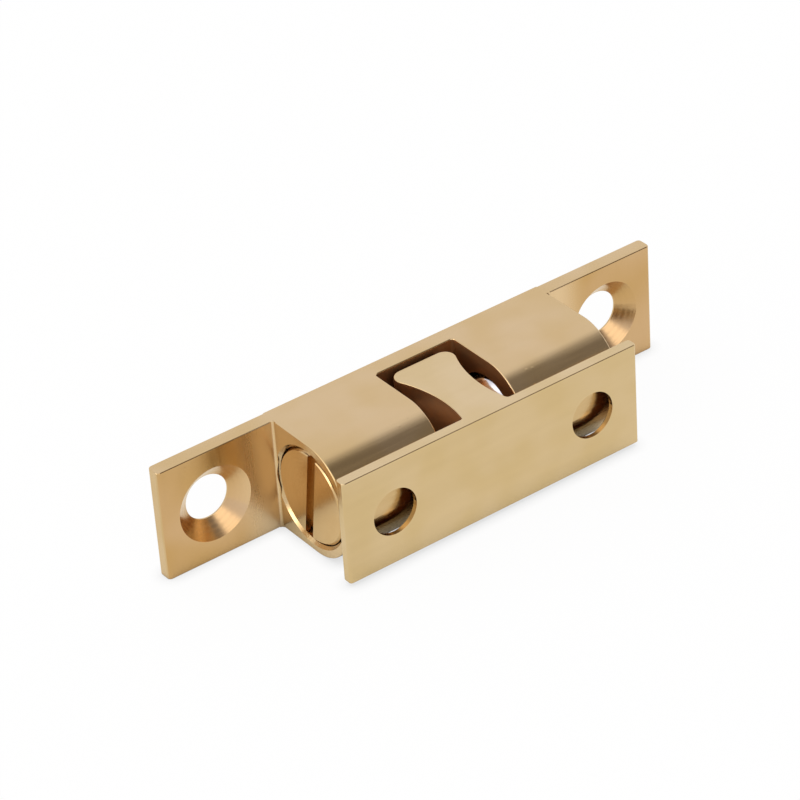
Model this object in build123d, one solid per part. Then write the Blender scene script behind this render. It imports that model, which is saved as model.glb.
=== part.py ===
"""Double ball catch for a cabinet door, 50 mm long, in brass with steel balls.

A fixing plate carries a barrel that is bored from both ends and notched across
its middle. A sprung ball sits in each bore and pokes into the notch. The tongue
of a T-shaped strike enters the notch and is held between the two balls.

Frame: X runs along the plate, Y points into the cabinet, Z is up. The origin is
the centre of the mounting face, and the strike lies in front of it, towards -Y.
Both halves are mirror images about X = 0.
"""
from build123d import *
from math import radians, sqrt, tan
import os

# Driving dimensions, in millimetres

# Fixing plate
plate_length = 50.0
plate_thickness = 1.4
body_height = 10.3
ear_corner_radius = 0.35

# Screw holes in the plate's ears, countersunk from the front
ear_hole_spacing = 40.0
ear_hole_diameter = 4.0
ear_sink_diameter = 6.8
sink_angle = 96.0

# Barrel
barrel_length = 27.9
barrel_depth = 10.5
barrel_corner_radius = 4.3
barrel_foot_radius = 0.25
bore_axis_depth = 5.75

# Notch across the barrel
notch_width = 7.9
notch_back_depth = 1.5
notch_corner_radius = 0.3

# Balls
ball_diameter = 7.5
ball_bore_clearance = 0.05
ball_rest_gap = 0.48
lip_hole_diameter = 7.0
lip_thickness = 0.5

# Adjusting screws
screw_diameter = 8.5
screw_clearance = 0.05
screw_length = 1.8
screw_inset = 0.05
screw_travel_in = 0.4
screw_slot_width = 1.0
screw_slot_depth = 0.8
screw_slot_turn = 9.0
screw_edge_chamfer = 0.25
bore_mouth_chamfer = 0.25

# Springs
spring_mean_diameter = 5.8
spring_wire = 0.45
spring_turns = 3.0
spring_end_clearance = 0.03

# Strike plate and its tongue
strike_length = 29.5
strike_height = 9.6
strike_thickness = 1.0
strike_corner_radius = 0.25
strike_gap = 0.3
strike_hole_spacing = 20.0
strike_hole_diameter = 4.2
strike_sink_diameter = 5.5
tongue_waist_width = 3.8
tongue_head_width = 5.9
tongue_head_radius = 1.0
tongue_tip_gap = 0.45
tongue_waist_setback = 2.9
tongue_root_radius = 0.3

# Small edge roundings
body_edge_radius = 0.12
strike_edge_radius = 0.1

# Values that follow from them

barrel_end = barrel_length / 2
notch_half = notch_width / 2
ball_radius = ball_diameter / 2
screw_radius = screw_diameter / 2
screw_bore_radius = screw_radius + screw_clearance
ball_bore_radius = ball_radius + ball_bore_clearance
screw_outer_x = barrel_end - screw_inset
screw_inner_x = screw_outer_x - screw_length
screw_bore_shoulder_x = screw_inner_x - screw_travel_in - spring_wire

strike_back = barrel_depth + strike_gap
strike_front = strike_back + strike_thickness

# The tongue's flank is one hollow arc from its root to its rounded head
head_centre_x = tongue_head_width / 2 - tongue_head_radius
head_centre_depth = notch_back_depth + tongue_tip_gap + tongue_head_radius
waist_depth = strike_back - tongue_waist_setback
flank_rise = waist_depth - head_centre_depth
flank_offset = head_centre_x - tongue_waist_width / 2
flank_radius = (flank_offset**2 + flank_rise**2 - tongue_head_radius**2) / (
    2 * (tongue_head_radius + flank_offset)
)
flank_centre_x = tongue_waist_width / 2 + flank_radius

# A ball touches the hollow flank where both normals meet, and rests a little clear
ball_reach = sqrt((flank_radius - ball_radius) ** 2 - (waist_depth - bore_axis_depth) ** 2)
ball_x = flank_centre_x - ball_reach + ball_rest_gap

# The spring bears on the ball's back and on the adjusting screw
spring_inner_radius = (spring_mean_diameter - spring_wire) / 2
spring_ball_x = ball_x + sqrt(ball_radius**2 - spring_inner_radius**2) + spring_end_clearance
spring_screw_x = screw_inner_x - spring_end_clearance


def sink_hole(x, rim_y, far_y, hole_diameter, sink_diameter):
    """Cutter for a screw hole along Y: a cone at rim_y, then a plain hole past far_y."""
    inward = 1 if far_y > rim_y else -1
    cone_depth = (sink_diameter - hole_diameter) / 2 / tan(radians(sink_angle / 2))
    cutter_length = 3 * abs(far_y - rim_y)
    hole = Pos(x, rim_y, 0) * Rot(-90 * inward, 0, 0) * Cylinder(
        hole_diameter / 2, cutter_length, align=(Align.CENTER, Align.CENTER, Align.MIN)
    )
    cone = Pos(x, rim_y, 0) * Rot(-90 * inward, 0, 0) * Cone(
        sink_diameter / 2, hole_diameter / 2, cone_depth, align=(Align.CENTER, Align.CENTER, Align.MIN)
    )
    return hole + cone


def bar_along_x(radius, start_x, end_x):
    """Round bar on the bore axis between two stations along X."""
    middle = Pos((start_x + end_x) / 2, -bore_axis_depth, 0)
    return middle * Rot(0, 90, 0) * Cylinder(radius, end_x - start_x)


def bore_cutter():
    """Right-hand bore: lip hole, ball bore, screw bore and the chamfer at its mouth."""
    seat_x = notch_half + lip_thickness
    seat_depth = ball_bore_radius - lip_hole_diameter / 2
    lip_hole = bar_along_x(lip_hole_diameter / 2, 0, seat_x + seat_depth)
    seat = Pos(seat_x, -bore_axis_depth, 0) * Rot(0, 90, 0) * Cone(
        lip_hole_diameter / 2, ball_bore_radius, seat_depth, align=(Align.CENTER, Align.CENTER, Align.MIN)
    )
    ball_bore = bar_along_x(ball_bore_radius, seat_x + seat_depth, barrel_end)
    screw_bore = bar_along_x(screw_bore_radius, screw_bore_shoulder_x, barrel_end + 2 * barrel_foot_radius)
    mouth = Pos(barrel_end - bore_mouth_chamfer, -bore_axis_depth, 0) * Rot(0, 90, 0) * Cone(
        screw_bore_radius,
        screw_bore_radius + bore_mouth_chamfer,
        bore_mouth_chamfer,
        align=(Align.CENTER, Align.CENTER, Align.MIN),
    )
    return lip_hole + seat + ball_bore + screw_bore + mouth


def at_station(edges, x):
    """The edges that lie in the plane X = x or X = -x."""
    return [
        edge for edge in edges
        if all(abs(abs(point.X) - x) < 1e-4 for point in (edge @ 0, edge @ 0.5, edge @ 1))
    ]


def foot_fillet(side):
    """Hollow corner fillet where a barrel end stands on the plate's front."""
    corner_x = side * barrel_end
    corner_y = -plate_thickness
    far_x = corner_x + side * barrel_foot_radius
    far_y = corner_y - barrel_foot_radius
    hollow = RadiusArc((corner_x, far_y), (far_x, corner_y), side * barrel_foot_radius)
    root_y = -plate_thickness / 2
    legs = Polyline((far_x, corner_y), (far_x, root_y), (corner_x, root_y), (corner_x, far_y))
    return extrude(make_face(hollow + legs), amount=body_height / 2, both=True)


def make_catch_body():
    """Plate and D-shaped barrel in one piece, bored, notched and drilled."""
    plate = Box(plate_length, plate_thickness, body_height, align=(Align.CENTER, Align.MAX, Align.CENTER))
    plate = fillet(plate.edges().filter_by(Axis.Z), ear_corner_radius)
    front_rims = [
        edge for edge in plate.edges()
        if abs(abs(edge.center().Z) - body_height / 2) < 1e-4 and edge.center().Y < -1e-4
    ]
    plate = fillet(front_rims, body_edge_radius)

    section = Pos(-barrel_depth / 2, 0) * Rectangle(barrel_depth, body_height)
    section = fillet(section.vertices().group_by(Axis.X)[0], barrel_corner_radius)
    barrel = extrude(Plane.YZ * section, amount=barrel_end, both=True)
    notch = Pos(0, -notch_back_depth, 0) * Box(
        notch_width, barrel_depth, 2 * body_height, align=(Align.CENTER, Align.MAX, Align.CENTER)
    )
    notch = fillet(notch.edges().filter_by(Axis.Z).group_by(Axis.Y)[-1], notch_corner_radius)
    barrel -= notch
    corner_depth = notch_back_depth + notch_corner_radius
    rims = [edge for edge in at_station(barrel.edges(), notch_half) if edge.center().Y < -corner_depth - 1e-4]
    ends = [edge for edge in at_station(barrel.edges(), barrel_end) if edge.center().Y < -1e-4]
    barrel = fillet(rims + ends, body_edge_radius)
    body = plate + barrel
    for side in (-1, 1):
        body += foot_fillet(side)

    body -= bore_cutter()
    body -= mirror(bore_cutter(), Plane.YZ)
    for side in (-1, 1):
        body -= sink_hole(
            side * ear_hole_spacing / 2, -plate_thickness, 0, ear_hole_diameter, ear_sink_diameter
        )
    return body


def make_strike():
    """Flat strike plate with its tongue, one extruded piece with two screw holes."""
    root_x = flank_centre_x - sqrt(flank_radius**2 - (strike_back - waist_depth) ** 2)
    meet_share = tongue_head_radius / (flank_radius + tongue_head_radius)
    meet_x = head_centre_x + (flank_centre_x - head_centre_x) * meet_share
    meet_depth = head_centre_depth + flank_rise * meet_share
    tip_depth = head_centre_depth - tongue_head_radius
    half = strike_length / 2
    flank = ThreePointArc(
        (root_x, -strike_back), (tongue_waist_width / 2, -waist_depth), (meet_x, -meet_depth)
    )
    head = RadiusArc(flank @ 1, (head_centre_x, -tip_depth), -tongue_head_radius)
    outline = Polyline((0, -strike_front), (half, -strike_front), (half, -strike_back), flank @ 0)
    outline += flank + head + Polyline(head @ 1, (0, -tip_depth), (0, -strike_front))
    half_strike = extrude(make_face(outline), amount=strike_height / 2, both=True)
    strike = half_strike + mirror(half_strike, Plane.YZ)

    upright = strike.edges().filter_by(Axis.Z)
    roots = [
        edge for edge in upright
        if abs(edge.center().Y + strike_back) < 1e-4 and abs(edge.center().X) < half - 1e-4
    ]
    strike = fillet(roots, tongue_root_radius)
    corners = [edge for edge in strike.edges().filter_by(Axis.Z) if abs(edge.center().X) > half - 1e-4]
    strike = fillet(corners, strike_corner_radius)
    rims = strike.edges().group_by(Axis.Z)
    strike = fillet(rims[0] + rims[-1], strike_edge_radius)
    for side in (-1, 1):
        strike -= sink_hole(
            side * strike_hole_spacing / 2,
            -strike_back,
            -strike_front,
            strike_hole_diameter,
            strike_sink_diameter,
        )
    return strike


def make_ball():
    """Steel ball of the right-hand side."""
    return Pos(ball_x, -bore_axis_depth, 0) * Sphere(ball_radius)


def make_spring():
    """Compression spring of the right-hand side, from the ball's back to the screw."""
    first_x = spring_ball_x + spring_wire / 2
    length = spring_screw_x - spring_wire / 2 - first_x
    helix = Helix(length / spring_turns, length, spring_mean_diameter / 2)
    section = Plane(origin=helix @ 0, z_dir=helix % 0) * Circle(spring_wire / 2)
    wire = sweep(section, path=helix, is_frenet=True)
    return Pos(first_x, -bore_axis_depth, 0) * Rot(0, 90, 0) * wire


def make_adjusting_screw():
    """Slotted screw plug of the right-hand side, almost flush with the barrel's end."""
    screw = bar_along_x(screw_radius, screw_inner_x, screw_outer_x)
    screw = chamfer(screw.edges().group_by(Axis.X)[-1], screw_edge_chamfer)
    slot = Pos(screw_outer_x, -bore_axis_depth, 0) * Rot(screw_slot_turn, 0, 0) * Box(
        2 * screw_slot_depth, screw_slot_width, 2 * screw_diameter
    )
    return screw - slot


def main():
    """Build every piece and write one file for each."""
    pieces = {"catch_body": make_catch_body(), "strike": make_strike()}
    for name, maker in (
        ("ball", make_ball),
        ("spring", make_spring),
        ("adjusting_screw", make_adjusting_screw),
    ):
        right = maker()
        pieces[name + "_right"] = right
        pieces[name + "_left"] = mirror(right, Plane.YZ)
    os.makedirs("parts", exist_ok=True)
    for name, piece in pieces.items():
        export_step(piece, "parts/" + name + ".step")
        print(name, len(piece.solids()), round(piece.volume, 3), piece.is_valid)
    print("ball x", round(ball_x, 3), "spring", round(spring_ball_x, 3), round(spring_screw_x, 3))
    print("flank radius", round(flank_radius, 3), "strike", strike_back, strike_front)


main()
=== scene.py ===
# %% [markdown]
# # A brass ball catch for a cabinet door
#
# This lesson dresses a small door catch that was drawn in CAD: a body with a bored barrel, a
# T-shaped strike, two steel balls, two springs and two slotted adjusting screws. The shapes
# already have their real size. What is left to do is the camera, the light, the finish of every
# surface, and two fine details that CAD leaves plain: the screws' threads and the springs' closed
# end coils.
#
# The first step loads the CAD pieces and measures how much room they take, before we touch
# anything. Anything that we add later has to stay inside that box, so it is measured before we
# touch anything.

# %% Load the CAD pieces
from math import cos, pi, radians, sin

import bpy
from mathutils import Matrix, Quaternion, Vector


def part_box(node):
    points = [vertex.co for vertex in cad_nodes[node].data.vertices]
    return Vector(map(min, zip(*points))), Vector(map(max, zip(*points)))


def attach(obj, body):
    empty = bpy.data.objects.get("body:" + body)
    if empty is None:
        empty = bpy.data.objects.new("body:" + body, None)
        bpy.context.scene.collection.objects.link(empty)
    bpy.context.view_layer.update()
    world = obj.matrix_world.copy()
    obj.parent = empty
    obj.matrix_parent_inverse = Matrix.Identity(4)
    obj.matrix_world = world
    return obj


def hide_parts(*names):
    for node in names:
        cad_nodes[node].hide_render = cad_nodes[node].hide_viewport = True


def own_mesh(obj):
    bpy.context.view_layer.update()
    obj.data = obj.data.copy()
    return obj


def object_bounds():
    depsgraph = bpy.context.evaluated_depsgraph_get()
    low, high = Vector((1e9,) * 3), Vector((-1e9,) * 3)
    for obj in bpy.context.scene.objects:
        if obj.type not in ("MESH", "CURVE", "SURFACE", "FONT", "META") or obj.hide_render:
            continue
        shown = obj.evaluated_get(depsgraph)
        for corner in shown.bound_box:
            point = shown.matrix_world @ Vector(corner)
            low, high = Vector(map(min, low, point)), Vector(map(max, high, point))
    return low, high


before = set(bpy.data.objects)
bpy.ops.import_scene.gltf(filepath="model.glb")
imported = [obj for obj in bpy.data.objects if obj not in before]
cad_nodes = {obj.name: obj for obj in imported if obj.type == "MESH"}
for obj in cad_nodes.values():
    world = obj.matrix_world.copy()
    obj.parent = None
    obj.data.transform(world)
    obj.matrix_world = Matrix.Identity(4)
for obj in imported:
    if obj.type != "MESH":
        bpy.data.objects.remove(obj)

MM = 0.001
cad_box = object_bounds()
print("pieces:", ", ".join(sorted(cad_nodes)))
print("room in mm:", [round((high - low) / MM, 2) for low, high in zip(*cad_box)])

# %% [markdown]
# ## The camera
#
# A product photo of a small thing is taken with a long lens from well away, so that near and far
# ends look almost the same size. We could drag the camera about by eye. It is easier to read, and
# to change, when it is given as a person would say it: the point it looks at, how far away it
# stands, how far it has walked round, how high it is, and how much it leans.
#
# Blender's camera looks along its own minus Z, so its Z axis points back along the line of sight.
# The lens length follows from the focal length in pixels, because the picture is 800 pixels wide
# and Blender's sensor is 36 mm wide.

# %% Set up the camera
picture_width = 800
focal_pixels = 3608.0
sensor_width = 36.0
aim = Vector((-2.33, -2.44, 2.38)) * MM
distance = 291.5 * MM
azimuth = radians(-34.67)
elevation = radians(33.92)
lean = radians(-4.16)

sight = Vector((sin(azimuth) * cos(elevation), -cos(azimuth) * cos(elevation), sin(elevation)))
camera_data = bpy.data.cameras.new("product_camera")
camera_data.sensor_width = sensor_width
camera_data.lens = focal_pixels / picture_width * sensor_width
camera = bpy.data.objects.new("product_camera", camera_data)
bpy.context.scene.collection.objects.link(camera)
camera.location = aim + sight * distance
camera.rotation_mode = "QUATERNION"
camera.rotation_quaternion = Quaternion(sight, lean) @ sight.to_track_quat("Z", "Y")
bpy.context.scene.camera = camera
bpy.context.scene.view_settings.view_transform = "Standard"
print("lens in mm:", round(camera_data.lens, 1))

# %% [markdown]
# ## A short way to write shader nodes
#
# Every finish below is a small network of shader nodes. Written out in full, each node takes
# several lines, and the reader loses the idea among them. A few helpers keep it short: one adds a
# node and fills in its values, one joins two sockets, and the others make the nodes that we use
# most, a sum, a mix of two colours and a range turned into another range.
#
# A value that is itself a socket is linked, and any other value is typed into the socket. So a
# line reads like the picture in the shader editor: this node, fed by that one.

# %% Helpers for shader nodes
def put(tree, socket, value):
    """Link a socket to another, or type a value into it."""
    if isinstance(value, bpy.types.NodeSocket):
        tree.links.new(value, socket)
    else:
        socket.default_value = value


def add_node(tree, kind, settings=None, **inputs):
    """Add a node, set its options, and fill in its inputs (a space in a name is written as _)."""
    made = tree.nodes.new(kind)
    for name, value in (settings or {}).items():
        setattr(made, name, value)
    for name, value in inputs.items():
        put(tree, made.inputs[name.replace("_", " ")], value)
    return made


def calculate(tree, operation, first, second=0.0):
    """A Math node, whose two inputs share one name."""
    made = add_node(tree, "ShaderNodeMath", {"operation": operation})
    put(tree, made.inputs[0], first)
    put(tree, made.inputs[1], second)
    return made.outputs[0]


def vector_sum(tree, operation, first, second, output="Vector"):
    """A Vector Math node with two vector inputs."""
    made = add_node(tree, "ShaderNodeVectorMath", {"operation": operation})
    put(tree, made.inputs[0], first)
    put(tree, made.inputs[1], second)
    return made.outputs[output]


def mix_colours(tree, share, first, second):
    """The first colour where share is 0, the second where it is 1 (sockets 6 and 7 are colours)."""
    made = add_node(tree, "ShaderNodeMix", {"data_type": "RGBA"})
    put(tree, made.inputs[0], share)
    put(tree, made.inputs[6], first)
    put(tree, made.inputs[7], second)
    return made.outputs[2]


def soft_range(tree, value, low, high, to_low=0.0, to_high=1.0):
    """Turn the range low to high into another one, easing in and out at its ends."""
    made = add_node(
        tree, "ShaderNodeMapRange", {"interpolation_type": "SMOOTHSTEP"},
        Value=value, From_Min=low, From_Max=high, To_Min=to_low, To_Max=to_high,
    )
    return made.outputs["Result"]


def shown(red, green, blue):
    """The linear RGBA that a picture shows as these 0 to 255 values."""
    def unbend(value):
        share = value / 255
        return share / 12.92 if share <= 0.04045 else ((share + 0.055) / 1.055) ** 2.4
    return (unbend(red), unbend(green), unbend(blue), 1.0)


print("mid grey in linear light:", round(shown(128, 128, 128)[0], 3))

# %% [markdown]
# ## The light all round
#
# Polished brass has hardly any colour of its own to show: it shows its surroundings, tinted. So
# the surroundings matter more than the lamps. The reflections tell what stood round this catch: a
# white table in a pale room, a broad soft light behind, a window far to the left with one very
# bright pane, a pale panel in front and a little to the left, and something dark to the front
# right. The pane draws the thin bright lines down the rounded edges, the panel lights one facet of
# the countersink, and the dark shape, a low part and a high part, draws the barrel's dark band.
#
# We could build cards and soft boxes out of planes. A sky that changes with direction does the
# same for every ray, costs nothing and makes little noise. Each patch of it is a direction, the
# angle that it fills, the angle at which it has faded out, and its colour.

# %% Build the sky
room_colour = (0.93, 0.93, 0.95, 1.0)
sky_patches = [
    # turned from +X towards +Y, height, full within, gone beyond, colour
    (60, 36, 25, 75, (1.02, 1.02, 1.05, 1.0)),
    (168, 30, 12, 33, (1.7, 1.65, 1.6, 1.0)),
    (188, 22, 5, 16, (4.0, 3.8, 3.5, 1.0)),
    (-100, 36, 12, 25, (1.75, 1.65, 1.5, 1.0)),
    (-58, 14, 16, 34, (0.2, 0.15, 0.11, 1.0)),
    (-44, 49, 3, 30, (0.25, 0.23, 0.22, 1.0)),
]


def heading(turn, height):
    """Unit vector that points this many degrees round from +X and this many up."""
    turn, height = radians(turn), radians(height)
    return Vector((cos(height) * cos(turn), cos(height) * sin(turn), sin(height)))


world = bpy.data.worlds.new("studio_room")
world.use_nodes = True
sky = world.node_tree
sky.nodes.clear()
direction = add_node(sky, "ShaderNodeTexCoord").outputs["Generated"]
room = room_colour
for turn, height, full, gone, colour in sky_patches:
    closeness = vector_sum(sky, "DOT_PRODUCT", direction, heading(turn, height), "Value")
    patch = soft_range(sky, closeness, cos(radians(gone)), cos(radians(full)))
    room = mix_colours(sky, patch, room, colour)
background = add_node(sky, "ShaderNodeBackground", Color=room, Strength=1.0)
add_node(sky, "ShaderNodeOutputWorld", Surface=background.outputs[0])
bpy.context.scene.world = world
print("sky patches:", len(sky_patches))

# %% [markdown]
# ## The table
#
# The photo's background is pure white, and only a faint soft shadow hugs the lower edges of the
# brass. More light would bleach the brass, so the white comes from the table itself: for rays that
# come from the camera or from a mirror-like surface, most of the table's look is a plain glow of
# strength 1, and a small share is ordinary white paint that takes the light and the shadow. All
# other rays see ordinary paint, so the light on the brass stays honest.
#
# A glow alone would also shine under the brass, where a real table is dark. The Ambient Occlusion
# node tells how much of the sky a point of the table is cut off from, and dims the glow there: a
# little for the camera, and almost fully for the reflections deep in the notch. Reflections also
# see a slightly warm white, because light that has touched brass on its way is a little yellow.

# %% Build the table
table_half_side = 1.5
paint_white = (0.95, 0.95, 0.95, 1.0)
glow_share = 0.95
occlusion_samples = 3
camera_shadow_reach = 1.2 * MM
camera_shadow_depth = 0.3
mirror_shadow_reach = 4 * MM
mirror_dark_below = 0.2
mirror_white_above = 0.46
mirror_least_glow = 0.05
warm_glow = (1.0, 0.97, 0.86, 1.0)

table_height = cad_box[0].z
corners = [(-1, -1), (1, -1), (1, 1), (-1, 1)]
table_mesh = bpy.data.meshes.new("table")
corner_points = [(x * table_half_side, y * table_half_side, table_height) for x, y in corners]
table_mesh.from_pydata(corner_points, [], [(0, 1, 2, 3)])
table = bpy.data.objects.new("table", table_mesh)
bpy.context.scene.collection.objects.link(table)

table_paint = bpy.data.materials.new("table_white")
table_paint.use_nodes = True
tree = table_paint.node_tree
tree.nodes.clear()
rays = add_node(tree, "ShaderNodeLightPath").outputs
occlusion = {"samples": occlusion_samples}
near_sky = add_node(tree, "ShaderNodeAmbientOcclusion", occlusion, Distance=camera_shadow_reach)
far_sky = add_node(tree, "ShaderNodeAmbientOcclusion", occlusion, Distance=mirror_shadow_reach)
camera_glow = soft_range(tree, near_sky.outputs["AO"], 0.0, 1.0, 1.0 - camera_shadow_depth, 1.0)
mirror_glow = soft_range(
    tree, far_sky.outputs["AO"], mirror_dark_below, mirror_white_above, mirror_least_glow, 1.0
)
camera_part = calculate(tree, "MULTIPLY", rays["Is Camera Ray"], camera_glow)
mirror_rays = calculate(tree, "MAXIMUM", rays["Is Glossy Ray"], rays["Is Transmission Ray"])
mirror_part = calculate(tree, "MULTIPLY", mirror_rays, mirror_glow)
glow = add_node(
    tree, "ShaderNodeEmission",
    Color=mix_colours(tree, rays["Is Camera Ray"], warm_glow, (1, 1, 1, 1)),
    Strength=calculate(tree, "MAXIMUM", camera_part, mirror_part),
)
seen = calculate(tree, "MAXIMUM", rays["Is Camera Ray"], mirror_rays)
paint = add_node(tree, "ShaderNodeBsdfDiffuse", Color=paint_white)
blend = add_node(tree, "ShaderNodeMixShader", Fac=calculate(tree, "MULTIPLY", seen, glow_share))
put(tree, blend.inputs[1], paint.outputs[0])
put(tree, blend.inputs[2], glow.outputs[0])
add_node(tree, "ShaderNodeOutputMaterial", Surface=blend.outputs[0])
table_mesh.materials.append(table_paint)
print("table height in mm:", round(table_height / MM, 2))

# %% [markdown]
# ## Effects that the finishes share
#
# Brass bar is drawn through a die, then cut, drilled and tumbled smooth. That leaves the same few
# traces on every piece: soft clouds where the metal is a touch warmer or paler, long fine lines
# along the bar, rings on turned faces, bright rubbed edges, brown grime in the corners, duller
# sides in a milled pocket, and a few specks. The brown in the corners is also painted shade, which
# darkens the closed-in places where shade falls. Each trace becomes a node group, which is a small
# network with named inputs that many materials can use. The alternative, copying the nodes into
# each material, would have to be mended in five places at every change.
#
# The first helper below makes an empty group and its sockets, and the second puts a group to use.
# The groups put out plain values, and each material decides what to do with them. The third
# helper divides coordinates by a length, so that a texture's pattern takes on that size.

# %% Helpers for node groups
def new_group(name, inputs, outputs):
    """Make a node group, and give back its tree, its input sockets and its output node."""
    group = bpy.data.node_groups.new(name, "ShaderNodeTree")
    for label, kind, value in inputs:
        socket = group.interface.new_socket(label, in_out="INPUT", socket_type=kind)
        socket.default_value = value
    for label, kind in outputs:
        group.interface.new_socket(label, in_out="OUTPUT", socket_type=kind)
    return group, group.nodes.new("NodeGroupInput").outputs, group.nodes.new("NodeGroupOutput")


def use_group(tree, group, **inputs):
    """Put a group into a material, and give back its outputs, or its only one."""
    outputs = add_node(tree, "ShaderNodeGroup", {"node_tree": group}, **inputs).outputs
    return outputs[0] if len(outputs) == 1 else outputs


def enlarge(tree, place, size):
    """Coordinates in which one unit is this size."""
    zoom = calculate(tree, "DIVIDE", 1.0, size)
    settings = {"operation": "SCALE"}
    scaled = add_node(tree, "ShaderNodeVectorMath", settings, Vector=place, Scale=zoom)
    return scaled.outputs["Vector"]


print("helpers ready")

# %% [markdown]
# ### Soft clouds
#
# Under even light a tumbled brass face is never one flat colour. It has broad, very soft patches,
# some pinker and some yellower, a few millimetres across. Smooth noise does this well: it is read
# in the object's own coordinates, so the patches stay on the metal when the piece moves. The
# coordinates are in metres, so they are divided by the size of a patch.

# %% Group: soft clouds
soft_clouds, given, result = new_group(
    "soft_clouds",
    [("Patch Size", "NodeSocketFloat", 4 * MM), ("Shift", "NodeSocketVector", (0, 0, 0))],
    [("Cloud", "NodeSocketFloat")],
)
cloud_low = 0.32
cloud_high = 0.68
place = add_node(soft_clouds, "ShaderNodeTexCoord").outputs["Object"]
zoomed = enlarge(soft_clouds, place, given["Patch Size"])
moved = vector_sum(soft_clouds, "ADD", zoomed, given["Shift"])
noise = add_node(
    soft_clouds, "ShaderNodeTexNoise", Vector=moved, Scale=1.0, Detail=1.5, Roughness=0.45
)
cloud = soft_range(soft_clouds, noise.outputs[0], cloud_low, cloud_high)
put(soft_clouds, result.inputs["Cloud"], cloud)
print("built:", soft_clouds.name)

# %% [markdown]
# ### Drawn and milled lines
#
# A die drags fine lines along a bar, and a cutter leaves them across a milled face. Both are noise
# that has been stretched: hardly any change along the line, and quick change across it. The input
# gives the length of a streak along each axis, so one group serves lines in any direction. Two
# layers are added, wide faint streaks and fine ones, because lines of one width look printed.

# %% Group: drawn lines
drawn_lines, given, result = new_group(
    "drawn_lines",
    [("Streak Size", "NodeSocketVector", (10 * MM, MM, MM))],
    [("Lines", "NodeSocketFloat")],
)
fine_share = 0.35
fine_scale = 4.3
line_low = 0.3
line_high = 0.7
place = add_node(drawn_lines, "ShaderNodeTexCoord").outputs["Object"]
stretched = vector_sum(drawn_lines, "DIVIDE", place, given["Streak Size"])
wide = add_node(
    drawn_lines, "ShaderNodeTexNoise", Vector=stretched, Scale=1.0, Detail=2.0, Roughness=0.5
)
fine = add_node(
    drawn_lines, "ShaderNodeTexNoise", Vector=stretched, Scale=fine_scale, Detail=3.0, Roughness=0.6
)
layers = add_node(drawn_lines, "ShaderNodeMix", {"data_type": "FLOAT"})
# sockets 2 and 3 of a Mix node are its plain values
put(drawn_lines, layers.inputs[0], fine_share)
put(drawn_lines, layers.inputs[2], wide.outputs[0])
put(drawn_lines, layers.inputs[3], fine.outputs[0])
lines = soft_range(drawn_lines, layers.outputs[0], line_low, line_high)
put(drawn_lines, result.inputs["Lines"], lines)
print("built:", drawn_lines.name)

# %% [markdown]
# ### Turned rings
#
# A face that was cut on a lathe carries fine rings about its axis, and so does a drilled
# countersink. The distance from the axis is all that matters, so noise in one dimension, fed with
# that distance, gives rings of uneven width. Wave textures would make them all alike. The group
# puts out the distance too, so that a material can end the rings at the rim of a hole.

# %% Group: turned rings
turned_rings, given, result = new_group(
    "turned_rings",
    [
        ("Centre", "NodeSocketVector", (0, 0, 0)),
        ("Across", "NodeSocketVector", (0, 1, 1)),
        ("Ring Width", "NodeSocketFloat", 0.2 * MM),
    ],
    [("Rings", "NodeSocketFloat"), ("Radius", "NodeSocketFloat")],
)
place = add_node(turned_rings, "ShaderNodeTexCoord").outputs["Object"]
from_centre = vector_sum(turned_rings, "SUBTRACT", place, given["Centre"])
flat = vector_sum(turned_rings, "MULTIPLY", from_centre, given["Across"])
length = add_node(turned_rings, "ShaderNodeVectorMath", {"operation": "LENGTH"}, Vector=flat)
radius = length.outputs["Value"]
turns = calculate(turned_rings, "DIVIDE", radius, given["Ring Width"])
one_way = {"noise_dimensions": "1D"}
ring_noise = add_node(turned_rings, "ShaderNodeTexNoise", one_way, W=turns, Scale=1.0)
rings = soft_range(turned_rings, ring_noise.outputs[0], line_low, line_high)
put(turned_rings, result.inputs["Rings"], rings)
put(turned_rings, result.inputs["Radius"], radius)
print("built:", turned_rings.name)

# %% [markdown]
# ### Rubbed edges
#
# Tumbling polishes edges more than faces, and handling keeps them bright. The Bevel node gives the
# normal that the surface would have if its edges were rounder. Where that differs from the true
# normal, an edge is near. The dot product of the two is 1 on a flat face and falls near an edge,
# so it makes a mask. We could mark edges by hand instead, but this follows every edge by itself.

# %% Group: rubbed edges
rubbed_edges, given, result = new_group(
    "rubbed_edges", [("Reach", "NodeSocketFloat", 0.2 * MM)], [("Edge", "NodeSocketFloat")]
)
bevel_samples = 2
flat_likeness = 0.995
edge_likeness = 0.88
rounder = add_node(
    rubbed_edges, "ShaderNodeBevel", {"samples": bevel_samples}, Radius=given["Reach"]
)
true_normal = add_node(rubbed_edges, "ShaderNodeNewGeometry").outputs["Normal"]
likeness = vector_sum(rubbed_edges, "DOT_PRODUCT", rounder.outputs[0], true_normal, "Value")
edge = soft_range(rubbed_edges, likeness, flat_likeness, edge_likeness)
put(rubbed_edges, result.inputs["Edge"], edge)
print("built:", rubbed_edges.name)

# %% [markdown]
# ### Grime and painted shade in corners
#
# Polish and oil gather where a cloth can't reach, and brass goes brown there. The same brown is
# also laid on as painted shade where shade falls. The Ambient Occlusion node measures how closed in
# a point is within a short reach, which is just where grime would gather and shade would fall: the
# notch, the bores, the countersinks and the foot of the barrel.

# %% Group: corner grime and painted shade
corner_grime_and_shade, given, result = new_group(
    "corner_grime_and_shade", [("Reach", "NodeSocketFloat", 1 * MM)], [("Grime_And_Shade", "NodeSocketFloat")]
)
# the mask is 1 where a point is closed in: brown grime there, and painted shade as well
open_limit = 0.6
closed_limit = 0.08
openness = add_node(
    corner_grime_and_shade, "ShaderNodeAmbientOcclusion", occlusion, Distance=given["Reach"]
)
grime_and_shade = soft_range(corner_grime_and_shade, openness.outputs["AO"], open_limit, closed_limit)
put(corner_grime_and_shade, result.inputs["Grime_And_Shade"], grime_and_shade)
print("built:", corner_grime_and_shade.name)

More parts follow.
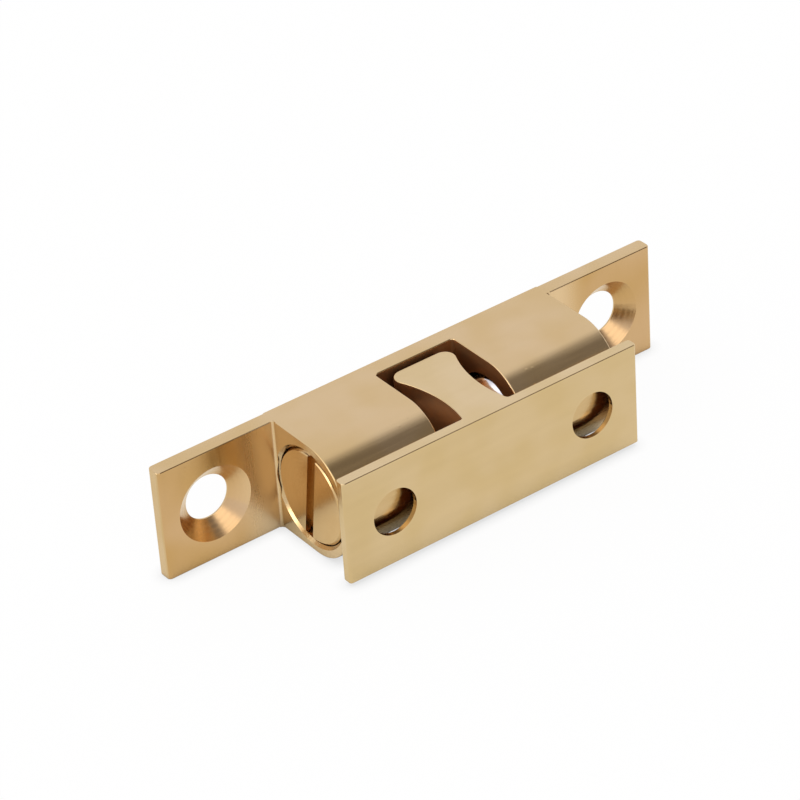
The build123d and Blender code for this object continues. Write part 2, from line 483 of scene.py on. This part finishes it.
# %% [markdown]
# ### Upright faces
#
# Bar comes out of the die with its long faces smooth, but a milled pocket has sides that the
# tumbling stones can't reach, so they stay duller. In this catch all of them stand upright. The
# mask is 1 where the surface faces sideways and 0 where it faces up or down, and each material
# adds where along the piece it counts.

# %% Group: upright faces
upright_faces, _, result = new_group("upright_faces", [], [("Upright", "NodeSocketFloat")])
sloping_limit = 0.5
upright_limit = 0.2
facing = add_node(upright_faces, "ShaderNodeTexCoord").outputs["Normal"]
facing_up = vector_sum(upright_faces, "DOT_PRODUCT", facing, (0, 0, 1), "Value")
flatness = calculate(upright_faces, "ABSOLUTE", facing_up)
upright = soft_range(upright_faces, flatness, sloping_limit, upright_limit)
put(upright_faces, result.inputs["Upright"], upright)
print("built:", upright_faces.name)

# %% [markdown]
# ### Specks
#
# A close look always finds a few bright or dull specks: dust, tiny dents and pits in the metal. A
# Voronoi texture scatters points, and only the very nearest surroundings of a point count as a
# speck. A random value for each cell leaves most of the cells empty, so that the specks don't form
# a grid.

# %% Group: specks
specks, given, result = new_group(
    "specks",
    [("Spacing", "NodeSocketFloat", 0.5 * MM), ("Speck Share", "NodeSocketFloat", 0.3)],
    [("Speck", "NodeSocketFloat")],
)
speck_rim = 0.24
speck_core = 0.08
place = add_node(specks, "ShaderNodeTexCoord").outputs["Object"]
zoomed = enlarge(specks, place, given["Spacing"])
cells = add_node(specks, "ShaderNodeTexVoronoi", Vector=zoomed, Scale=1.0)
dot = soft_range(specks, cells.outputs["Distance"], speck_rim, speck_core)
luck = add_node(specks, "ShaderNodeSeparateColor", Color=cells.outputs["Color"]).outputs[0]
lucky = calculate(specks, "LESS_THAN", luck, given["Speck Share"])
put(specks, result.inputs["Speck"], calculate(specks, "MULTIPLY", dot, lucky))
print("built:", specks.name)

# %% [markdown]
# ## The brass
#
# Brass is a bare metal, so the Principled shader is fully metallic, and its base colour is the
# tint of its reflections. The body and the strike are cut from different bars, and the strike is
# the yellower of the two. They share one recipe: clouds choose between a paler and a warmer tone,
# rubbed edges turn lighter and smoother, grime and painted shade turn corners brown and dull, and
# the drawn lines and broad waves go into the bump, where they blur the reflections a little along
# the bar.
#
# The bump distances are true depths. A drawn line is some millionths of a metre deep, and the
# waves are deeper but far wider, which is what makes a mirror image wobble softly.

# %% Material recipe for brass
# this brown is grime and also painted shade, laid on the closed-in places
grime_and_shade_colour = shown(104, 62, 28)
grime_and_shade_reach = 0.9 * MM
grime_and_shade_share = 0.8
grime_and_shade_dulling = 0.1
edge_colour = shown(235, 206, 160)
edge_reach = 0.16 * MM
edge_share = 0.15
edge_polish = 0.4
wave_size_share = 1.7
wave_depth = 0.012 * MM
line_depth = 0.0016 * MM
speck_depth = 0.006 * MM
speck_spacing = 0.55 * MM
speck_share = 0.12


def new_material(name):
    """An empty metal: gives back the material, its tree and its Principled shader."""
    material = bpy.data.materials.new(name)
    material.use_nodes = True
    shader = material.node_tree.nodes["Principled BSDF"]
    shader.inputs["Metallic"].default_value = 1.0
    return material, material.node_tree, shader


def add_bump(tree, height, depth, under=None):
    """A Bump node of this true depth, laid over another one if there is one."""
    made = add_node(tree, "ShaderNodeBump", Strength=1.0, Distance=depth, Height=height)
    if under is not None:
        put(tree, made.inputs["Normal"], under)
    return made.outputs["Normal"]


def tint(tree, mask, share, tone, colour):
    """Blend a colour in where the mask is 1, up to this share."""
    return mix_colours(tree, calculate(tree, "MULTIPLY", mask, share), tone, colour)


def make_brass(name, pale, warm, patch_size, streaks, smooth, rough, cut_marks):
    """Brass with clouds, lines, rubbed edges, grime and painted shade, specks, and the marks of
    later cuts.
    """
    material, tree, shader = new_material(name)
    cloud = use_group(tree, soft_clouds, Patch_Size=patch_size)
    swell = use_group(
        tree, soft_clouds, Patch_Size=wave_size_share * patch_size, Shift=(5, 3, 1)
    )
    lines = use_group(tree, drawn_lines, Streak_Size=streaks)
    edge = use_group(tree, rubbed_edges, Reach=edge_reach)
    grime_and_shade = use_group(tree, corner_grime_and_shade, Reach=grime_and_shade_reach)
    speck = use_group(tree, specks, Spacing=speck_spacing, Speck_Share=speck_share)

    tone = mix_colours(tree, cloud, warm, pale)
    sheen = soft_range(tree, lines, 0.0, 1.0, smooth, rough)
    waves = add_bump(tree, swell, wave_depth)
    normal = add_bump(tree, lines, line_depth, waves)
    tone, sheen, normal = cut_marks(tree, tone, sheen, normal)

    tone = tint(tree, edge, edge_share, tone, edge_colour)
    # grime and painted shade: closed-in places turn brown
    tone = tint(tree, grime_and_shade, grime_and_shade_share, tone, grime_and_shade_colour)
    put(tree, shader.inputs["Base Color"], tone)
    sheen = calculate(tree, "ADD", sheen, calculate(tree, "MULTIPLY", grime_and_shade, grime_and_shade_dulling))
    polish = calculate(tree, "MULTIPLY", edge, edge_polish * smooth)
    put(tree, shader.inputs["Roughness"], calculate(tree, "SUBTRACT", sheen, polish))
    put(tree, shader.inputs["Normal"], add_bump(tree, speck, speck_depth, normal))
    return material


print("grime in linear light:", [round(value, 3) for value in grime_and_shade_colour[:3]])

# %% [markdown]
# ### The strike
#
# The strike is cut from a drawn bar, so its lines run along it. The waist of the tongue was milled
# afterwards. Its flanks are a pocket that the stones didn't reach, so they are redder and duller
# than the plate, which is a mask of the upright faces behind the plate. The body's notch was milled
# in the same way, so the helper for it is written once. A second helper finds a piece's two holes.
#
# The screw holes are countersunk on the side that faces the body. Nobody sees it, and the cones
# are painted a dark brown that is painted shade. They still matter: the barrel behind each hole
# mirrors them, and that painted shade is what makes the holes look dark from the front.

# %% Material: drawn and milled brass of the strike
pocket_sheen = 0.42
pocket_tone = shown(214, 166, 116)
# painted shade: the hidden countersinks are coloured dark brown so that the holes mirror darkness
hidden_sink_shade_tone = shown(110, 66, 34)
strike_thickness = 1 * MM
strike_hole_place = 10 * MM
strike_sink_radius = 2.75 * MM
backward_none = 0.2
backward_full = 0.5
drill_ring_width = 0.18 * MM
mask_fade = 0.1 * MM


def in_pocket(tree, share, tone, sheen):
    """The duller and redder metal of a milled pocket, where share is 1."""
    share = calculate(tree, "MULTIPLY", share, use_group(tree, upright_faces))
    tone = mix_colours(tree, share, tone, pocket_tone)
    return tone, soft_range(tree, share, 0.0, 1.0, sheen, pocket_sheen)


def screw_holes(tree, offset):
    """Rings about the left and the right hole's axis, and the distance from the nearer axis."""
    across = {"Across": (1, 0, 1), "Ring_Width": drill_ring_width}
    left_rings, left_radius = use_group(tree, turned_rings, Centre=(-offset, 0, 0), **across)
    right_rings, right_radius = use_group(tree, turned_rings, Centre=(offset, 0, 0), **across)
    return left_rings, right_rings, calculate(tree, "MINIMUM", left_radius, right_radius)


def strike_cuts(tree, tone, sheen, normal):
    """The milled flanks of the tongue, and painted shade on the countersinks of the plate's hidden
    side.
    """
    coordinates = add_node(tree, "ShaderNodeTexCoord").outputs
    depth = add_node(tree, "ShaderNodeSeparateXYZ", Vector=coordinates["Object"]).outputs["Y"]
    plate_back = cad_box[0].y + strike_thickness
    behind_plate = soft_range(tree, depth, plate_back + mask_fade, plate_back + 3 * mask_fade)
    tone, sheen = in_pocket(tree, behind_plate, tone, sheen)

    _, _, radius = screw_holes(tree, strike_hole_place)
    near_hole = soft_range(tree, radius, strike_sink_radius + mask_fade, strike_sink_radius)
    backward = vector_sum(tree, "DOT_PRODUCT", coordinates["Normal"], (0, 1, 0), "Value")
    facing_back = soft_range(tree, backward, backward_none, backward_full)
    in_sink = calculate(tree, "MULTIPLY", near_hole, facing_back)
    # painted shade on the hidden cones
    tone = mix_colours(tree, in_sink, tone, hidden_sink_shade_tone)
    return tone, soft_range(tree, in_sink, 0.0, 1.0, sheen, pocket_sheen), normal


strike_brass = make_brass(
    "strike_brass", pale=shown(213, 189, 150), warm=shown(209, 184, 140), patch_size=4 * MM,
    streaks=(12 * MM, 0.6 * MM, 0.6 * MM), smooth=0.17, rough=0.26, cut_marks=strike_cuts,
)
print("material:", strike_brass.name)

# %% [markdown]
# ### The body
#
# The body starts as a drawn bar too. A cutter then takes the barrel away at both ends to leave the
# ears, another mills the notch, and a drill sinks the two screw holes. So the ears have upright
# milled lines and a warmer tone, and close to the barrel they are duller and painted paler, a
# painted light that lifts their dark reflection of the barrel's end.
# The notch has dull red-brown walls, and the countersinks have rings. Three masks say where: the
# distance from the middle of the body finds the ears, that and the depth find the notch, and the
# distance from a hole's axis finds the countersinks.

# %% Material: drawn, milled and drilled brass of the body
ear_start = 13.95 * MM
ear_fade = 0.2 * MM
forward_none = 0.4
forward_full = 0.7
ear_pale_until = 1 * MM
ear_warm_from = 4.5 * MM
# painted light: the ear is paler near the barrel, lifting its dark reflection of the barrel's end
ear_painted_light_tone = shown(226, 198, 160)
ear_warm_tones = (shown(197, 160, 106), shown(207, 173, 132))
ear_smooth = 0.18
ear_rough = 0.23
ear_pale_dulling = 0.1
ear_line_depth = 0.0004 * MM
ear_far_line_share = 0.15
notch_side = 3.95 * MM
notch_back = -1.5 * MM
hole_place = 20 * MM
sink_radius = 3.4 * MM
sink_smooth = 0.18
sink_rough = 0.25
sink_ring_depth = 0.00006 * MM


def body_cuts(tree, tone, sheen, normal):
    """Dull walls in the notch, upright lines on the ears, and rings in the countersinks."""
    place = add_node(tree, "ShaderNodeTexCoord").outputs["Object"]
    split = add_node(tree, "ShaderNodeSeparateXYZ", Vector=place).outputs
    from_middle = calculate(tree, "ABSOLUTE", split["X"])
    between_sides = soft_range(tree, from_middle, notch_side + mask_fade, notch_side)
    past_back = soft_range(tree, split["Y"], notch_back + 3 * mask_fade, notch_back + 2 * mask_fade)
    in_notch = calculate(tree, "MULTIPLY", between_sides, past_back)
    tone, sheen = in_pocket(tree, in_notch, tone, sheen)

    facing = add_node(tree, "ShaderNodeTexCoord").outputs["Normal"]
    forward = vector_sum(tree, "DOT_PRODUCT", facing, (0, -1, 0), "Value")
    past_barrel = soft_range(tree, from_middle, ear_start, ear_start + ear_fade)
    facing_front = soft_range(tree, forward, forward_none, forward_full)
    on_ear = calculate(tree, "MULTIPLY", past_barrel, facing_front)
    lines = use_group(tree, drawn_lines, Streak_Size=(0.45 * MM, 0.45 * MM, 5 * MM))
    cloud = use_group(tree, soft_clouds, Patch_Size=7 * MM, Shift=(3, 1, 8))
    near_barrel = soft_range(
        tree, from_middle, ear_start + ear_warm_from, ear_start + ear_pale_until
    )
    ear_tone = mix_colours(tree, cloud, *ear_warm_tones)
    # painted light near the barrel
    ear_tone = mix_colours(tree, near_barrel, ear_tone, ear_painted_light_tone)
    tone = mix_colours(tree, on_ear, tone, ear_tone)
    ear_sheen = soft_range(tree, lines, 0.0, 1.0, ear_smooth, ear_rough)
    dulling = calculate(tree, "MULTIPLY", near_barrel, ear_pale_dulling)
    ear_sheen = calculate(tree, "ADD", ear_sheen, dulling)
    sheen = soft_range(tree, on_ear, 0.0, 1.0, sheen, ear_sheen)
    line_share = soft_range(tree, near_barrel, 0.0, 1.0, ear_far_line_share, 1.0)
    cut_deeper = calculate(tree, "MULTIPLY", on_ear, line_share)
    ear_lines = calculate(tree, "MULTIPLY", lines, cut_deeper)
    normal = add_bump(tree, ear_lines, ear_line_depth, normal)

    left_rings, right_rings, radius = screw_holes(tree, hole_place)
    to_right = calculate(tree, "GREATER_THAN", split["X"], 0.0)
    rings = soft_range(tree, to_right, 0.0, 1.0, left_rings, right_rings)
    in_sink = soft_range(tree, radius, sink_radius + mask_fade, sink_radius)
    ring_sheen = soft_range(tree, rings, 0.0, 1.0, sink_smooth, sink_rough)
    sheen = soft_range(tree, in_sink, 0.0, 1.0, sheen, ring_sheen)
    normal = add_bump(tree, calculate(tree, "MULTIPLY", rings, in_sink), sink_ring_depth, normal)
    return tone, sheen, normal


body_brass = make_brass(
    "body_brass", pale=shown(209, 182, 142), warm=shown(204, 175, 128), patch_size=5 * MM,
    streaks=(14 * MM, 0.5 * MM, 0.5 * MM), smooth=0.15, rough=0.24, cut_marks=body_cuts,
)
print("material:", body_brass.name)

# %% [markdown]
# ### The screws
#
# The adjusting screws are turned from bar on a lathe, so the lines in the recipe are replaced by
# rings about the screw's own axis. The colour is a little deeper, as the cut face hasn't been
# tumbled.

# %% Material: turned brass of the screws
screw_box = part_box("adjusting_screw_right")
screw_centre = (screw_box[0] + screw_box[1]) / 2
screw_smooth = 0.2
screw_rough = 0.25
screw_edge_share = 0.4
screw_grime_and_shade_share = 0.5
screw_ring_depth = 0.00025 * MM
screw_brass, tree, shader = new_material("screw_brass")
screw_axis = (0, screw_centre.y, screw_centre.z)
rings, _ = use_group(tree, turned_rings, Centre=screw_axis, Ring_Width=0.22 * MM)
cloud = use_group(tree, soft_clouds, Patch_Size=3 * MM, Shift=(2, 7, 4))
edge = use_group(tree, rubbed_edges, Reach=0.12 * MM)
grime_and_shade = use_group(tree, corner_grime_and_shade, Reach=0.8 * MM)
tone = mix_colours(tree, cloud, shown(203, 169, 117), shown(209, 177, 128))
tone = tint(tree, edge, screw_edge_share, tone, edge_colour)
# grime and painted shade in the screw's closed-in places
tone = tint(tree, grime_and_shade, screw_grime_and_shade_share, tone, grime_and_shade_colour)
sheen = soft_range(tree, rings, 0.0, 1.0, screw_smooth, screw_rough)
put(tree, shader.inputs["Base Color"], tone)
put(tree, shader.inputs["Roughness"], sheen)
put(tree, shader.inputs["Normal"], add_bump(tree, rings, screw_ring_depth))
print("material:", screw_brass.name)

# %% [markdown]
# ## The steel
#
# The balls are bearing balls, ground and lapped to a mirror, and then a little blurred by
# hair-fine wear where they rub on the tongue. The springs are drawn wire, duller and a little
# blue, with lines along the wire that are too fine to draw one by one and show only as roughness.

# %% Materials: ball steel and spring steel
ball_smooth = 0.08
ball_rough = 0.17
scuff_depth = 0.0003 * MM
steel_speck_depth = 0.001 * MM
wire_smooth = 0.22
wire_rough = 0.38
wire_grain_depth = 0.001 * MM
oil_and_shade_share = 0.6
oil_and_shade_colour = shown(92, 84, 76)

ball_steel, tree, shader = new_material("ball_steel")
cloud = use_group(tree, soft_clouds, Patch_Size=1.5 * MM, Shift=(1, 4, 2))
scuffs = use_group(tree, drawn_lines, Streak_Size=(0.25 * MM, 3 * MM, 0.25 * MM))
speck = use_group(tree, specks, Spacing=0.4 * MM, Speck_Share=0.2)
tone = mix_colours(tree, cloud, shown(214, 212, 218), shown(226, 225, 230))
sheen = soft_range(tree, scuffs, 0.0, 1.0, ball_smooth, ball_rough)
scuffed = add_bump(tree, scuffs, scuff_depth)
put(tree, shader.inputs["Base Color"], tone)
put(tree, shader.inputs["Roughness"], sheen)
put(tree, shader.inputs["Normal"], add_bump(tree, speck, steel_speck_depth, scuffed))

spring_steel, tree, shader = new_material("spring_steel")
cloud = use_group(tree, soft_clouds, Patch_Size=0.8 * MM)
grain = use_group(tree, drawn_lines, Streak_Size=(0.06 * MM, 0.4 * MM, 0.4 * MM))
# darker steel where the coils close in: oil and painted shade
oil_and_shade = use_group(tree, corner_grime_and_shade, Reach=0.5 * MM)
tone = mix_colours(tree, cloud, shown(176, 177, 182), shown(198, 199, 203))
tone = tint(tree, oil_and_shade, oil_and_shade_share, tone, oil_and_shade_colour)
sheen = soft_range(tree, grain, 0.0, 1.0, wire_smooth, wire_rough)
put(tree, shader.inputs["Base Color"], tone)
put(tree, shader.inputs["Roughness"], sheen)
put(tree, shader.inputs["Normal"], add_bump(tree, grain, wire_grain_depth))
print("materials:", ball_steel.name, spring_steel.name)

# %% [markdown]
# The CAD pieces keep their own shapes. Each has one material slot, and the finish goes into it.

# %% Dress the CAD pieces
finishes = {
    "catch_body": body_brass,
    "strike": strike_brass,
    "ball_left": ball_steel,
    "ball_right": ball_steel,
    "spring_left": spring_steel,
    "spring_right": spring_steel,
    "adjusting_screw_left": screw_brass,
    "adjusting_screw_right": screw_brass,
}
for name, finish in finishes.items():
    cad_nodes[name].material_slots[0].material = finish
print("dressed:", len(finishes))

# %% [markdown]
# ## The screws' threads
#
# The CAD screws are plain slotted plugs. Real ones carry a fine thread, which shows as soon as a
# screw is turned out of its bore. Blender's Screw modifier could sweep a profile, but its ends are
# hard to close. Here the surface is a formula instead: rings of points are laid along the screw,
# and each point is pulled in where the groove of the thread passes. The groove moves along by one
# pitch in each turn, and that is all a helix is.
#
# The slot is then cut as a saw would cut it, by a Boolean modifier with a thin block. The result is
# kept as a plain mesh, and the block is thrown away.

# %% Build the threaded screws
thread_pitch = 0.75 * MM
thread_depth = 0.3 * MM
groove_steepness = 2.4
crest_flat_share = 0.2
screw_chamfer = 0.25 * MM
slot_width = 1.0 * MM
slot_depth = 0.8 * MM
slot_turn = radians(9)
points_round = 96
rings_along = 48


def new_object(name, mesh):
    """Put a mesh into the scene as an object."""
    made = bpy.data.objects.new(name, mesh)
    bpy.context.scene.collection.objects.link(made)
    return made


def shade(mesh, finish, sharp_angle):
    """Smooth shading that keeps the corners sharp, and one material."""
    mesh.polygons.foreach_set("use_smooth", [True] * len(mesh.polygons))
    mesh.set_sharp_from_angle(angle=radians(sharp_angle))
    mesh.materials.clear()
    mesh.materials.append(finish)


def groove_share(along, angle):
    """How deep the V groove is here: 0 on the crest of the thread, 1 at its root."""
    turn = (along / thread_pitch - angle / (2 * pi)) % 1.0
    from_crest = 0.5 - abs(turn - 0.5)
    return min(1.0, max(0.0, groove_steepness * from_crest - crest_flat_share))


def threaded_plug(inner_x, outer_x, radius, centre):
    """Closed plug along X with a helical groove and a chamfer round its outer end."""
    vertices = []
    for ring in range(rings_along + 1):
        x = inner_x + (outer_x - inner_x) * ring / rings_along
        to_end = abs(outer_x - x)
        for point in range(points_round):
            angle = 2 * pi * point / points_round
            here = radius - thread_depth * groove_share(x, angle)
            here = min(here, radius - screw_chamfer + to_end)
            vertices.append((x, centre.y + here * cos(angle), centre.z + here * sin(angle)))
    faces = []
    for ring in range(rings_along):
        first = ring * points_round
        for point in range(points_round):
            after = (point + 1) % points_round
            faces.append((first + point, first + after, first + points_round + after,
                          first + points_round + point))
    last = rings_along * points_round
    faces.append(tuple(range(points_round))[::-1])
    faces.append(tuple(range(last, last + points_round)))
    if outer_x < inner_x:
        faces = [face[::-1] for face in faces]
    mesh = bpy.data.meshes.new("threaded_plug")
    mesh.from_pydata(vertices, [], faces)
    return mesh


def slot_block(outer_x, centre, length):
    """Thin block that cuts the slot, leaning round the screw's axis."""
    vertices = []
    for along in (-slot_depth, slot_depth):
        for across in (-slot_width / 2, slot_width / 2):
            for up in (-length / 2, length / 2):
                y = across * cos(slot_turn) - up * sin(slot_turn)
                z = across * sin(slot_turn) + up * cos(slot_turn)
                vertices.append((outer_x + along, centre.y + y, centre.z + z))
    faces = [(0, 1, 3, 2), (4, 6, 7, 5), (0, 4, 5, 1), (2, 3, 7, 6), (0, 2, 6, 4), (1, 5, 7, 3)]
    mesh = bpy.data.meshes.new("slot_block")
    mesh.from_pydata(vertices, [], faces)
    return mesh


for side in ("left", "right"):
    node = "adjusting_screw_" + side
    low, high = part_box(node)
    centre = (low + high) / 2
    inner_x, outer_x = sorted((low.x, high.x), key=abs)
    radius = (high.z - low.z) / 2
    plug = new_object("plug", threaded_plug(inner_x, outer_x, radius, centre))
    block = new_object("block", slot_block(outer_x, centre, 3 * radius))
    cut = plug.modifiers.new("slot", "BOOLEAN")
    cut.operation = "DIFFERENCE"
    cut.solver = "EXACT"
    cut.object = block
    cut_plug = plug.evaluated_get(bpy.context.evaluated_depsgraph_get())
    screw = new_object("threaded_screw_" + side, bpy.data.meshes.new_from_object(cut_plug))
    shade(screw.data, screw_brass, sharp_angle=38)
    bpy.data.objects.remove(plug)
    bpy.data.objects.remove(block)
    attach(screw, node)
    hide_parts(node)
    print(screw.name, "faces:", len(screw.data.polygons))

# %% [markdown]
# ## The springs
#
# A compression spring isn't an even helix. Its first and last turns lie closed against their
# neighbours, and their ends are ground flat, so that the spring stands square on the screw and on
# the ball. The path is again a formula: the pitch is the wire's own thickness at both ends and
# opens smoothly in between. The wire is a ring of points carried along that path, and points that
# pass either end plane are pressed back onto it, as the grinding wheel leaves them.

# %% Build the springs
spring_turns = 4
closed_turns = 0.75
easing_turns = 0.5
closed_pitch_share = 1.02
end_inset_share = 0.6
steps_per_turn = 40
points_per_wire = 12
wire_radius = 0.225 * MM


def opening(turn):
    """0 in the closed end turns, 1 in the open middle, easing between them."""
    from_end = min(turn, spring_turns - turn)
    ease = min(1.0, max(0.0, (from_end - closed_turns) / easing_turns))
    return ease * ease * (3 - 2 * ease)


def coil_mesh(start_x, end_x, outer_radius, centre):
    """Wire wound round the X axis from the ball's end to the screw's end."""
    direction = 1 if end_x > start_x else -1
    steps = spring_turns * steps_per_turn
    closed_step = 2 * wire_radius * closed_pitch_share / steps_per_turn
    run = abs(end_x - start_x) - 2 * end_inset_share * wire_radius
    open_sum = sum(opening((step + 0.5) / steps_per_turn) for step in range(steps))
    open_step = (run - closed_step * steps) / open_sum
    coil_radius = outer_radius - wire_radius
    along = end_inset_share * wire_radius
    low, high = sorted((start_x, end_x))
    vertices = []
    for step in range(steps + 1):
        turn = step / steps_per_turn
        outward = Vector((0, cos(2 * pi * turn), sin(2 * pi * turn)))
        middle = Vector((start_x + direction * along, centre.y, centre.z)) + outward * coil_radius
        for point in range(points_per_wire):
            angle = 2 * pi * point / points_per_wire
            place = middle + outward * (wire_radius * cos(angle))
            place.x += wire_radius * sin(angle)
            place.x = min(high, max(low, place.x))
            vertices.append(place)
        along += closed_step + open_step * opening((step + 0.5) / steps_per_turn)
    faces = []
    for step in range(steps):
        first = step * points_per_wire
        for point in range(points_per_wire):
            after = (point + 1) % points_per_wire
            faces.append((first + point, first + points_per_wire + point,
                          first + points_per_wire + after, first + after))
    last = steps * points_per_wire
    faces.append(tuple(range(points_per_wire)))
    faces.append(tuple(range(last, last + points_per_wire))[::-1])
    mesh = bpy.data.meshes.new("coil")
    mesh.from_pydata(vertices, [], faces)
    return mesh


for side in ("left", "right"):
    node = "spring_" + side
    low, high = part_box(node)
    centre = (low + high) / 2
    ball_end, screw_end = sorted((low.x, high.x), key=abs)
    wire = coil_mesh(ball_end, screw_end, (high.z - low.z) / 2, centre)
    coil = new_object("coil_spring_" + side, wire)
    shade(coil.data, spring_steel, sharp_angle=50)
    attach(coil, node)
    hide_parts(node)
    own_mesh(coil)
